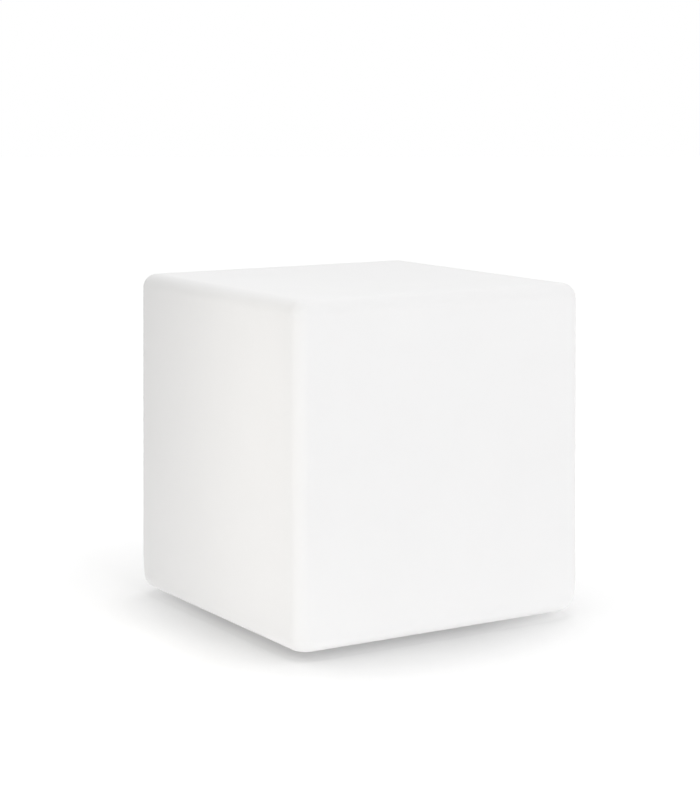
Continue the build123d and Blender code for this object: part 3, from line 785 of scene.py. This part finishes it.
# %% Base plate
def softened(node, name, width, finish, slot, sharp_degrees=40):
    """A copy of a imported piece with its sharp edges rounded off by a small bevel."""
    bm = bmesh.new()
    bm.from_mesh(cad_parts[node].data)
    bmesh.ops.remove_doubles(bm, verts=bm.verts, dist=0.002 * MM)
    bmesh.ops.dissolve_limit(bm, angle_limit=math.radians(0.5), verts=bm.verts, edges=bm.edges)
    sharp = math.radians(sharp_degrees)
    edges = [edge for edge in bm.edges if edge.is_manifold and edge.calc_face_angle() > sharp]
    bmesh.ops.bevel(
        bm, geom=edges, offset=width, segments=2, profile=0.6, affect="EDGES", clamp_overlap=True
    )
    piece = new_piece(name, bm, sharp_degrees=30)
    evened = piece.modifiers.new("even", "WEIGHTED_NORMAL")
    evened.keep_sharp = True
    settle(piece)
    return stand_for(node, piece, "base", finish, slot)


base_moulding = softened("base_plate", "ribbed_base_plate", 0.35 * MM, base_plastic, "base_plastic")
print("base plate", len(base_moulding.data.polygons), "faces")

# %% [markdown]
# ## Screw threads
# A thread is a ridge that winds up round a shaft. Here a stack of rings does it: on each ring the
# radius swells once per turn, and the swelling moves round a little from ring to ring. It fades
# out over one pitch at both ends, as a cut thread runs out. The same wave, seen from inside,
# is the thread of a nut.

# %% Thread helper
def thread_rings(
    radius, depth, pitch, low, high, middle=(0, 0), steps=turned_steps, rows_per_pitch=6, inside=False
):
    """Rings up a right-hand thread: crests reach the radius outside, or leave it inside a nut."""
    rows = max(4, round((high - low) / pitch * rows_per_pitch))
    base = 0 if inside else 1

    def swell(turn, height):
        fade = min(1, (height - low) / pitch, (high - height) / pitch)
        crest = (1 + math.cos(2 * math.pi * height / pitch - turn)) / 2
        return radius + (crest - base) * fade * depth

    heights = [low + (high - low) * row / rows for row in range(rows + 1)]
    return [ring_of(swell, height, middle, steps) for height in heights]


print("thread helper ready")

# %% [markdown]
# ## Brass inserts
# Each insert is a turned brass nut with a collar at the seat and a fine thread inside, so that the
# plastic never wears when the base is unscrewed.

# %% Brass inserts
bore_radius = 2.5 * MM
bore_mouth = 2.9 * MM
bore_depth = 0.4 * MM
bore_pitch = 0.8 * MM
bore_lead = 0.4 * MM
collar_height = 2 * MM
groove_radius = insert_radius - 0.25 * MM
groove_slope = 0.4 * MM
groove_height = 6 * MM
chamfer = 0.3 * MM


def insert_skin(middle):
    """Rings round one insert: collar, grooved body, top and threaded bore."""
    low, high = insert_low.z, insert_high.z
    outside = round_rings(
        turned_steps, middle, (insert_radius, low + chamfer), (insert_radius, low + collar_height),
        (groove_radius, low + collar_height + groove_slope), (groove_radius, low + groove_height),
        (insert_radius, low + groove_height + groove_slope), (insert_radius, high - chamfer),
        (insert_radius - chamfer, high), (bore_mouth, high),
    )
    bore = thread_rings(
        bore_radius, bore_depth, bore_pitch, low + bore_lead, high - bore_lead, middle, inside=True
    )
    foot = round_rings(turned_steps, middle, (bore_mouth, low), (insert_radius - chamfer, low))
    return outside + bore[::-1] + foot


insert_skins = [insert_skin(place) for place in screw_places]
brass_inserts = place_piece("threaded_inserts", "brass_inserts", insert_skins, "shell", brass, "brass")
print("inserts", len(brass_inserts.data.polygons), "faces")

# %% [markdown]
# ## Screws
# All screws here have a low domed head with a hexagon socket, and differ only in size and in which
# way they point. A hexagon is a ring too, whose radius is longest at its six corners, so a socket,
# a dome and a thread make one skin from the bottom of the socket to the tip.

# %% Screws
# Shares of a screw's own sizes: of its head's height, of the ring round its socket, of its shank.
dome_share = 0.72
socket_share = 0.6
land_share = 0.25
tip_share = 0.72


def hexagon_radius(flats, turn):
    """How far a hexagon reaches on a ray, with corners on the X axis."""
    off = turn % (math.pi / 3) - math.pi / 6
    return flats / 2 / math.cos(off)


def hexagon_ring(flats, height, middle):
    """A hexagon of points."""
    return ring_of(lambda turn, height: hexagon_radius(flats, turn), height, middle)


def screw_skin(middle, face, tip, head_radius, head_height, flats, shank, pitch, dome_steps=5):
    """Rings of one screw, from its socket over the head to the tip. Up or down follows face and tip."""
    way = math.copysign(1, tip - face)
    corner = flats / math.sqrt(3)
    land = corner + land_share * (head_radius - corner)
    dome = head_height * dome_share
    seat = face + way * head_height
    socket_floor = face + way * head_height * socket_share
    rings = [round_ring(0, socket_floor + way * 0.25 * MM, middle)]
    rings.append(hexagon_ring(flats * 0.96, socket_floor, middle))
    rings.append(hexagon_ring(flats, face + way * 0.3 * MM, middle))
    rings += round_rings(turned_steps, middle, (corner + 0.15 * MM, face), (land, face))
    for i in range(1, dome_steps + 1):
        swing = math.pi / 2 * i / dome_steps
        out = land + (head_radius - land) * math.sin(swing)
        rings.append(round_ring(out, face + way * dome * (1 - math.cos(swing)), middle))
    rings += round_rings(
        turned_steps, middle,
        (head_radius, seat - way * 0.15 * MM), (head_radius - 0.2 * MM, seat), (shank, seat),
    )
    thread_low, thread_high = sorted((seat + way * 0.5 * MM, tip - way * 0.8 * MM))
    thread = thread_rings(shank, 0.16 * pitch + 0.15 * MM, pitch, thread_low, thread_high, middle)
    rings += thread if way > 0 else thread[::-1]
    return rings + round_rings(turned_steps, middle, (shank * tip_share, tip), (0, tip))


def screws(node, name, places, up, sizes, finish, slot):
    """Equal screws that stand for a node, with their tips up or down."""
    low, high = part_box(node)
    face, tip = (low.z, high.z) if up else (high.z, low.z)
    skins = [screw_skin(place, face, tip, **sizes) for place in places]
    return place_piece(node, name, skins, "base", finish, slot, closed=False)


def screw_sizes(head_radius, head_height, flats, shank, pitch):
    """The sizes of a screw, from millimetres."""
    return {
        "head_radius": head_radius * MM, "head_height": head_height * MM, "flats": flats * MM,
        "shank": shank * MM, "pitch": pitch * MM,
    }


base_screw = screw_sizes(4.6, 3.2, 3.5, 2.3, 0.8)
tapping_screw = screw_sizes(3.4, 2.2, 2.5, 1.8, 1.3)
block_fixing = screw_sizes(3.4, 2.2, 2.5, 1.4, 1.1)
bracket_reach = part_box("bracket_screws")[1].x - tapping_screw["head_radius"]
bracket_places = [(bracket_reach, 0), (-bracket_reach, 0)]
block_low, block_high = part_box("terminal_block")
block_middle = (0, (block_low.y + block_high.y) / 2)
plated = (zinc, "zinc_plated_steel")
screws("base_screws", "base_socket_screws", screw_places, True, base_screw, steel, "stainless_steel")
screws("bracket_screws", "bracket_tapping_screws", bracket_places, False, tapping_screw, *plated)
screws("block_screw", "block_fixing_screw", [block_middle], False, block_fixing, *plated)
print("screws on a circle of", round(insert_circle / MM, 1), "mm")

# %% [markdown]
# ## Rubber feet
# Each foot is a soft moulded button, pressed into a blind hole in the flange. Its edge is rounded,
# its flank has a bead for the fingers, and a shallow dimple in its sole keeps it from rocking.

# %% Rubber feet
foot_steps = 56
foot_radius = 11 * MM
foot_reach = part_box("rubber_feet")[1].x - foot_radius
foot_places = [(x * foot_reach, y * foot_reach) for x in (1, -1) for y in (1, -1)]
foot_outline = [
    (0, 0.6), (2.4, 0.55), (3.2, 0.12), (3.6, 0), (8.4, 0), (8.9, 0.1), (9.3, 0.45), (9.5, 0.95),
    (9.75, 2.6), (9.6, 2.9), (9.65, 3.2), (9.9, 3.5), (10.2, 5), (10.8, 7.6), (11, 8.2),
    (11, 9.2), (10.7, 9.5), (0, 9.5),
]
foot_stations = [(radius * MM, height * MM) for radius, height in foot_outline]
foot_skins = [round_rings(foot_steps, place, *foot_stations) for place in foot_places]
place_piece("rubber_feet", "button_feet", foot_skins, "base", foot_rubber, "foot_rubber", closed=False)
print("feet", round(foot_reach / MM, 1), "mm out along each axis")

# %% [markdown]
# ## Cable gland and nuts
# A gland seals the cable where it comes in: a body with a hexagon and two threads, a nut inside
# the base, and a cap that squeezes a rubber sleeve. On a real nut the corners are turned off at
# 30 degrees, which leaves a curved edge on each flat. Here each ring takes the smaller of the
# hexagon and that cone, and the curve comes by itself.

# %% Nut helper
nut_steps = 72


def nut_rings(flats, low, high, middle=(0, 0)):
    """Rings up the outside of a hexagon with turned-off corners."""
    slope = math.tan(math.radians(30))
    face_radius = flats / 2 * 0.96
    drop = (flats / math.sqrt(3) - face_radius) * slope
    shares = (0, 0.35, 0.7, 1)

    def reach(turn, height):
        return min(hexagon_radius(flats, turn), face_radius + min(height - low, high - height) / slope)

    heights = [low + drop * share for share in shares] + [high - drop * share for share in reversed(shares)]
    return [ring_of(reach, height, middle, nut_steps) for height in heights]


print("nut helper ready")

# %% Gland body
gland_low, gland_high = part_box("gland_body")
gland_at = (0, (gland_low.y + gland_high.y) / 2)
gland_thread = {"depth": 0.55 * MM, "pitch": 1.5 * MM, "middle": gland_at, "steps": nut_steps}
gland_radius = 8 * MM
gland_flats = 20 * MM
gland_bore = 5 * MM
sleeve_bore = 6.6 * MM
thread_end = 0.6 * MM
plain_length = 5 * MM
hex_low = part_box("gland_insert")[1].z
hex_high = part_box("gland_seal_ring")[0].z


def gland_ring(*stations):
    """Circles round the axis of the gland."""
    return round_rings(nut_steps, gland_at, *stations)


body_rings = thread_rings(
    gland_radius, low=gland_low.z + thread_end, high=hex_low - 0.8 * MM, **gland_thread
)
body_rings += gland_ring((gland_radius, hex_low)) + nut_rings(gland_flats, hex_low, hex_high, gland_at)
body_rings += gland_ring((gland_radius, hex_high))
body_rings += thread_rings(
    gland_radius, low=hex_high + plain_length, high=gland_high.z - thread_end, **gland_thread
)
body_rings += gland_ring(
    (7.3 * MM, gland_high.z), (5.4 * MM, gland_high.z), (gland_bore, gland_high.z - 0.4 * MM),
    (gland_bore, hex_low), (sleeve_bore, hex_low), (sleeve_bore, gland_low.z + 0.3 * MM),
    (6.9 * MM, gland_low.z), (7.4 * MM, gland_low.z),
)
place_piece("gland_body", "gland_threaded_body", [body_rings], "base", nylon, "gland_nylon")
print("gland at", [round(value / MM, 1) for value in gland_at])

# %% Gland nut and cap
nut_low, nut_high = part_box("gland_locknut")
nut_flats = 22 * MM
nut_mouth = 8.7 * MM
nut_bore = thread_rings(
    8.1 * MM, low=nut_low.z + 0.4 * MM, high=nut_high.z - 0.4 * MM, inside=True, **gland_thread
)
locknut_rings = nut_rings(nut_flats, nut_low.z, nut_high.z, gland_at) + gland_ring((nut_mouth, nut_high.z))
locknut_rings += nut_bore[::-1] + gland_ring((nut_mouth, nut_low.z))
place_piece("gland_locknut", "gland_hex_nut", [locknut_rings], "base", nylon, "gland_nylon")

cap_low, cap_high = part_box("gland_cap")
cap_bore = 8.2 * MM
cap_mouth = 4.8 * MM
cap_roof = cap_low.z + 2.5 * MM
nose_steps = 6
nose_rise = 4 * MM
nose_turns = [math.pi / 2 * i / nose_steps for i in range(nose_steps + 1)]
nose = [
    (6 * MM + nose_rise * math.sin(turn), cap_low.z + nose_rise * (1 - math.cos(turn))) for turn in nose_turns
]
cap_rings = gland_ring((cap_mouth, cap_roof), (cap_mouth, cap_low.z + 0.5 * MM), (5.3 * MM, cap_low.z), *nose)
cap_rings += nut_rings(gland_flats, cap_high.z - 8 * MM, cap_high.z, gland_at)
cap_rings += gland_ring((8.6 * MM, cap_high.z), (cap_bore, cap_high.z - 0.5 * MM), (cap_bore, cap_roof))
place_piece("gland_cap", "gland_clamping_cap", [cap_rings], "base", nylon, "gland_nylon")
print("gland nut", nut_flats / MM, "mm and cap", gland_flats / MM, "mm across flats")

# %% [markdown]
# ## Bracket, nipple and nut
# The bracket is a strip of plated steel, punched and bent over a former. Punching leaves its edges
# slightly rounded, so it is softened like the base plate. A hollow threaded tube, the nipple,
# joins the lampholder to it, with a nut underneath.

# %% Bracket, nipple and nut
softened("lamp_bracket", "bent_strip_bracket", 0.25 * MM, *plated)
axis = (0, 0)
tube_thread = {"depth": 0.35 * MM, "pitch": 1.0 * MM}
tube_low, tube_high = (corner.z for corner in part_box("holder_nipple"))
tube_radius = 5 * MM
tube_end = 4.5 * MM
tube_bore = 3.4 * MM
tube_mouth = 3.6 * MM
tube_rings = round_rings(turned_steps, axis, (tube_end, tube_low))
tube_rings += thread_rings(tube_radius, low=tube_low + 0.5 * MM, high=tube_high - 0.5 * MM, **tube_thread)
tube_rings += round_rings(
    turned_steps, axis, (tube_end, tube_high), (tube_mouth, tube_high), (tube_bore, tube_high - 0.3 * MM),
    (tube_bore, tube_low + 0.3 * MM), (tube_mouth, tube_low),
)
place_piece("holder_nipple", "threaded_nipple", [tube_rings], "base", *plated)

thin_low, thin_high = (corner.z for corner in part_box("nipple_nut"))
thin_flats = 14 * MM
thin_mouth = 5.6 * MM
thin_bore = thread_rings(
    5.1 * MM, low=thin_low + 0.3 * MM, high=thin_high - 0.3 * MM, steps=nut_steps, inside=True, **tube_thread
)
thin_rings = nut_rings(thin_flats, thin_low, thin_high)
thin_rings += round_rings(nut_steps, axis, (thin_mouth, thin_high)) + thin_bore[::-1]
thin_rings += round_rings(nut_steps, axis, (thin_mouth, thin_low))
place_piece("nipple_nut", "nipple_hex_nut", [thin_rings], "base", *plated)

# %% [markdown]
# ## Lampholder
# The screw socket is rolled from thin sheet, so its thread shows inside and outside as one soft
# wave. The skirt that covers it screws onto the dome by hand and has shallow flutes to grip.

# %% Screw socket
lamp_pitch = 3.629 * MM
wave = {"depth": 0.8 * MM, "pitch": lamp_pitch, "steps": nut_steps, "rows_per_pitch": 10}
rolled = (nickel, "nickel_plate")
socket_low, socket_high = (corner.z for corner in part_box("holder_screw_shell"))
socket_outside = 13.9 * MM
socket_inside = 13.5 * MM
socket_hole = 9 * MM
sheet = 0.4 * MM
wave_low = socket_low + 1.6 * MM
wave_high = socket_high - 1.2 * MM
socket_rings = round_rings(
    nut_steps, axis, (socket_hole, socket_low), (12.6 * MM, socket_low), (13.5 * MM, socket_low + 0.6 * MM)
)
socket_rings += thread_rings(socket_outside, low=wave_low, high=wave_high, **wave)
socket_rings += round_rings(nut_steps, axis, (socket_outside, socket_high), (socket_inside, socket_high))
socket_rings += thread_rings(socket_inside, low=wave_low, high=wave_high, **wave)[::-1]
socket_rings += round_rings(
    nut_steps, axis, (13.1 * MM, socket_low + 0.9 * MM), (12.4 * MM, socket_low + sheet),
    (socket_hole, socket_low + sheet),
)
place_piece("holder_screw_shell", "rolled_screw_socket", [socket_rings], "base", *rolled)
print("socket pitch", round(lamp_pitch / MM, 3), "mm")

# %% Skirt
skirt_low, skirt_high = (corner.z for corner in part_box("holder_skirt"))
core_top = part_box("holder_core")[1].z
skirt_foot = 19.5 * MM
skirt_taper = (17.9 - 19.5) * MM
skirt_bore = 16.9 * MM
skirt_mouth = 14.5 * MM
flute_count = 36
flute_steps = flute_count * 8


def skirt_ring(height, flute):
    """One ring of the tapered outside, with flutes of a given depth."""
    radius = skirt_foot + skirt_taper * (height - skirt_low) / (skirt_high - skirt_low)

    def reach(turn, height):
        return radius - flute * (1 + math.cos(flute_count * turn)) / 2

    return ring_of(reach, height, steps=flute_steps)


skirt_stations = [
    (skirt_low + 0.3 * MM, 0), (skirt_low + 2 * MM, 0), (skirt_low + 3 * MM, 0.35 * MM),
    (skirt_low + 0.5 * (skirt_high - skirt_low), 0.45 * MM), (skirt_high - 6 * MM, 0.35 * MM),
    (skirt_high - 5 * MM, 0), (skirt_high - 1.7 * MM, 0),
]
skirt_rings = [skirt_ring(height, flute) for height, flute in skirt_stations]
skirt_rings += round_rings(
    flute_steps, axis, (17.3 * MM, skirt_high - 0.6 * MM), (16.3 * MM, skirt_high), (15 * MM, skirt_high),
    (skirt_mouth, skirt_high - 0.4 * MM), (skirt_mouth, core_top), (skirt_bore, core_top),
    (skirt_bore, skirt_low), (19.2 * MM, skirt_low),
)
place_piece("holder_skirt", "fluted_skirt", [skirt_rings], "base", holder_gloss, "holder_plastic")
print("skirt with", flute_count, "flutes")

# %% [markdown]
# ## Terminal block
# The block is moulded nylon with two towers, each over a brass sleeve. Its clamp screws have
# driver slots, cut here with thin bars. The edges of the block get the small radius of its mould.

# %% Terminal block and clamp screws
softened("terminal_block", "moulded_terminal_block", 0.35 * MM, block_nylon, "terminal_nylon")
clamp_low, clamp_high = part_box("terminal_screws")
clamp_radius = 1.5 * MM
clamp_places = [
    (x, y)
    for x in (clamp_low.x + clamp_radius, clamp_high.x - clamp_radius)
    for y in (clamp_low.y + clamp_radius, clamp_high.y - clamp_radius)
]
clamp_rings = [
    (0, clamp_low.z), (1.1 * MM, clamp_low.z), (clamp_radius, clamp_low.z + 0.4 * MM),
    (clamp_radius, clamp_high.z - 0.2 * MM), (1.3 * MM, clamp_high.z), (0, clamp_high.z),
]
clamp_screws = drums("slotted_clamp_screws", clamp_places, clamp_rings)
slot_bar = Matrix.Diagonal((4 * MM, 0.5 * MM, 1.4 * MM, 1))
slant_start = 35
slant_change = 4000  # degrees for each metre along X
bars = bmesh.new()
for x, y in clamp_places:
    slant = Matrix.Rotation(math.radians(slant_start + slant_change * x), 4, "Z")
    bar = Matrix.Translation((x, y, clamp_high.z)) @ slant @ slot_bar
    bmesh.ops.create_cube(bars, size=1, matrix=bar)
shaped_by(clamp_screws, new_piece("slot_bars", bars), "DIFFERENCE")
smooth(clamp_screws.data)
stand_for("terminal_screws", clamp_screws, "base", *plated)
print("clamp screws", len(clamp_places))

# %% [markdown]
# ## Lamp cap
# The cap of the lamp is rolled with the same wave as the socket, so the two stay in step while
# the lamp is screwed out. Above the thread the plain neck is pressed into the collar at eight
# small punch marks.

# %% Threaded lamp cap
lamp_low, lamp_high = (corner.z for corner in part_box("lamp_cap"))
lamp_radius = 13.1 * MM
neck_low = lamp_low + 17 * MM
neck_rows = 12
mark_height = lamp_low + 18.9 * MM
mark_count = 8
mark_depth = 0.4 * MM
mark_radius = 0.7 * MM


def neck_reach(turn, height):
    """How far the plain neck reaches, pressed in at the punch marks."""
    aside = (turn * mark_count / (2 * math.pi) + 0.5) % 1 - 0.5
    aside *= 2 * math.pi / mark_count * lamp_radius
    spread = (aside**2 + (height - mark_height) ** 2) / mark_radius**2
    return lamp_radius - mark_depth * math.exp(-spread)


neck_heights = [neck_low + (lamp_high - neck_low) * (i + 1) / neck_rows for i in range(neck_rows)]
lamp_rings = round_rings(
    nut_steps, axis, (0, lamp_low), (11.2 * MM, lamp_low), (12 * MM, lamp_low + 0.4 * MM)
)
lamp_rings += thread_rings(lamp_radius, low=lamp_low + 1.2 * MM, high=neck_low, **wave)[2:]
lamp_rings += [ring_of(neck_reach, height, steps=nut_steps) for height in neck_heights]
lamp_rings += round_rings(nut_steps, axis, (0, lamp_high))
place_piece("lamp_cap", "rolled_lamp_cap", [lamp_rings], "lamp", *rolled, closed=False)
print("lamp cap", round((lamp_high - lamp_low) / MM, 1), "mm long")

# %% [markdown]
# ## View transform
# The view transform stays plain, so a colour renders as it is written.

# %% Finish
scene.view_settings.view_transform = "Standard"
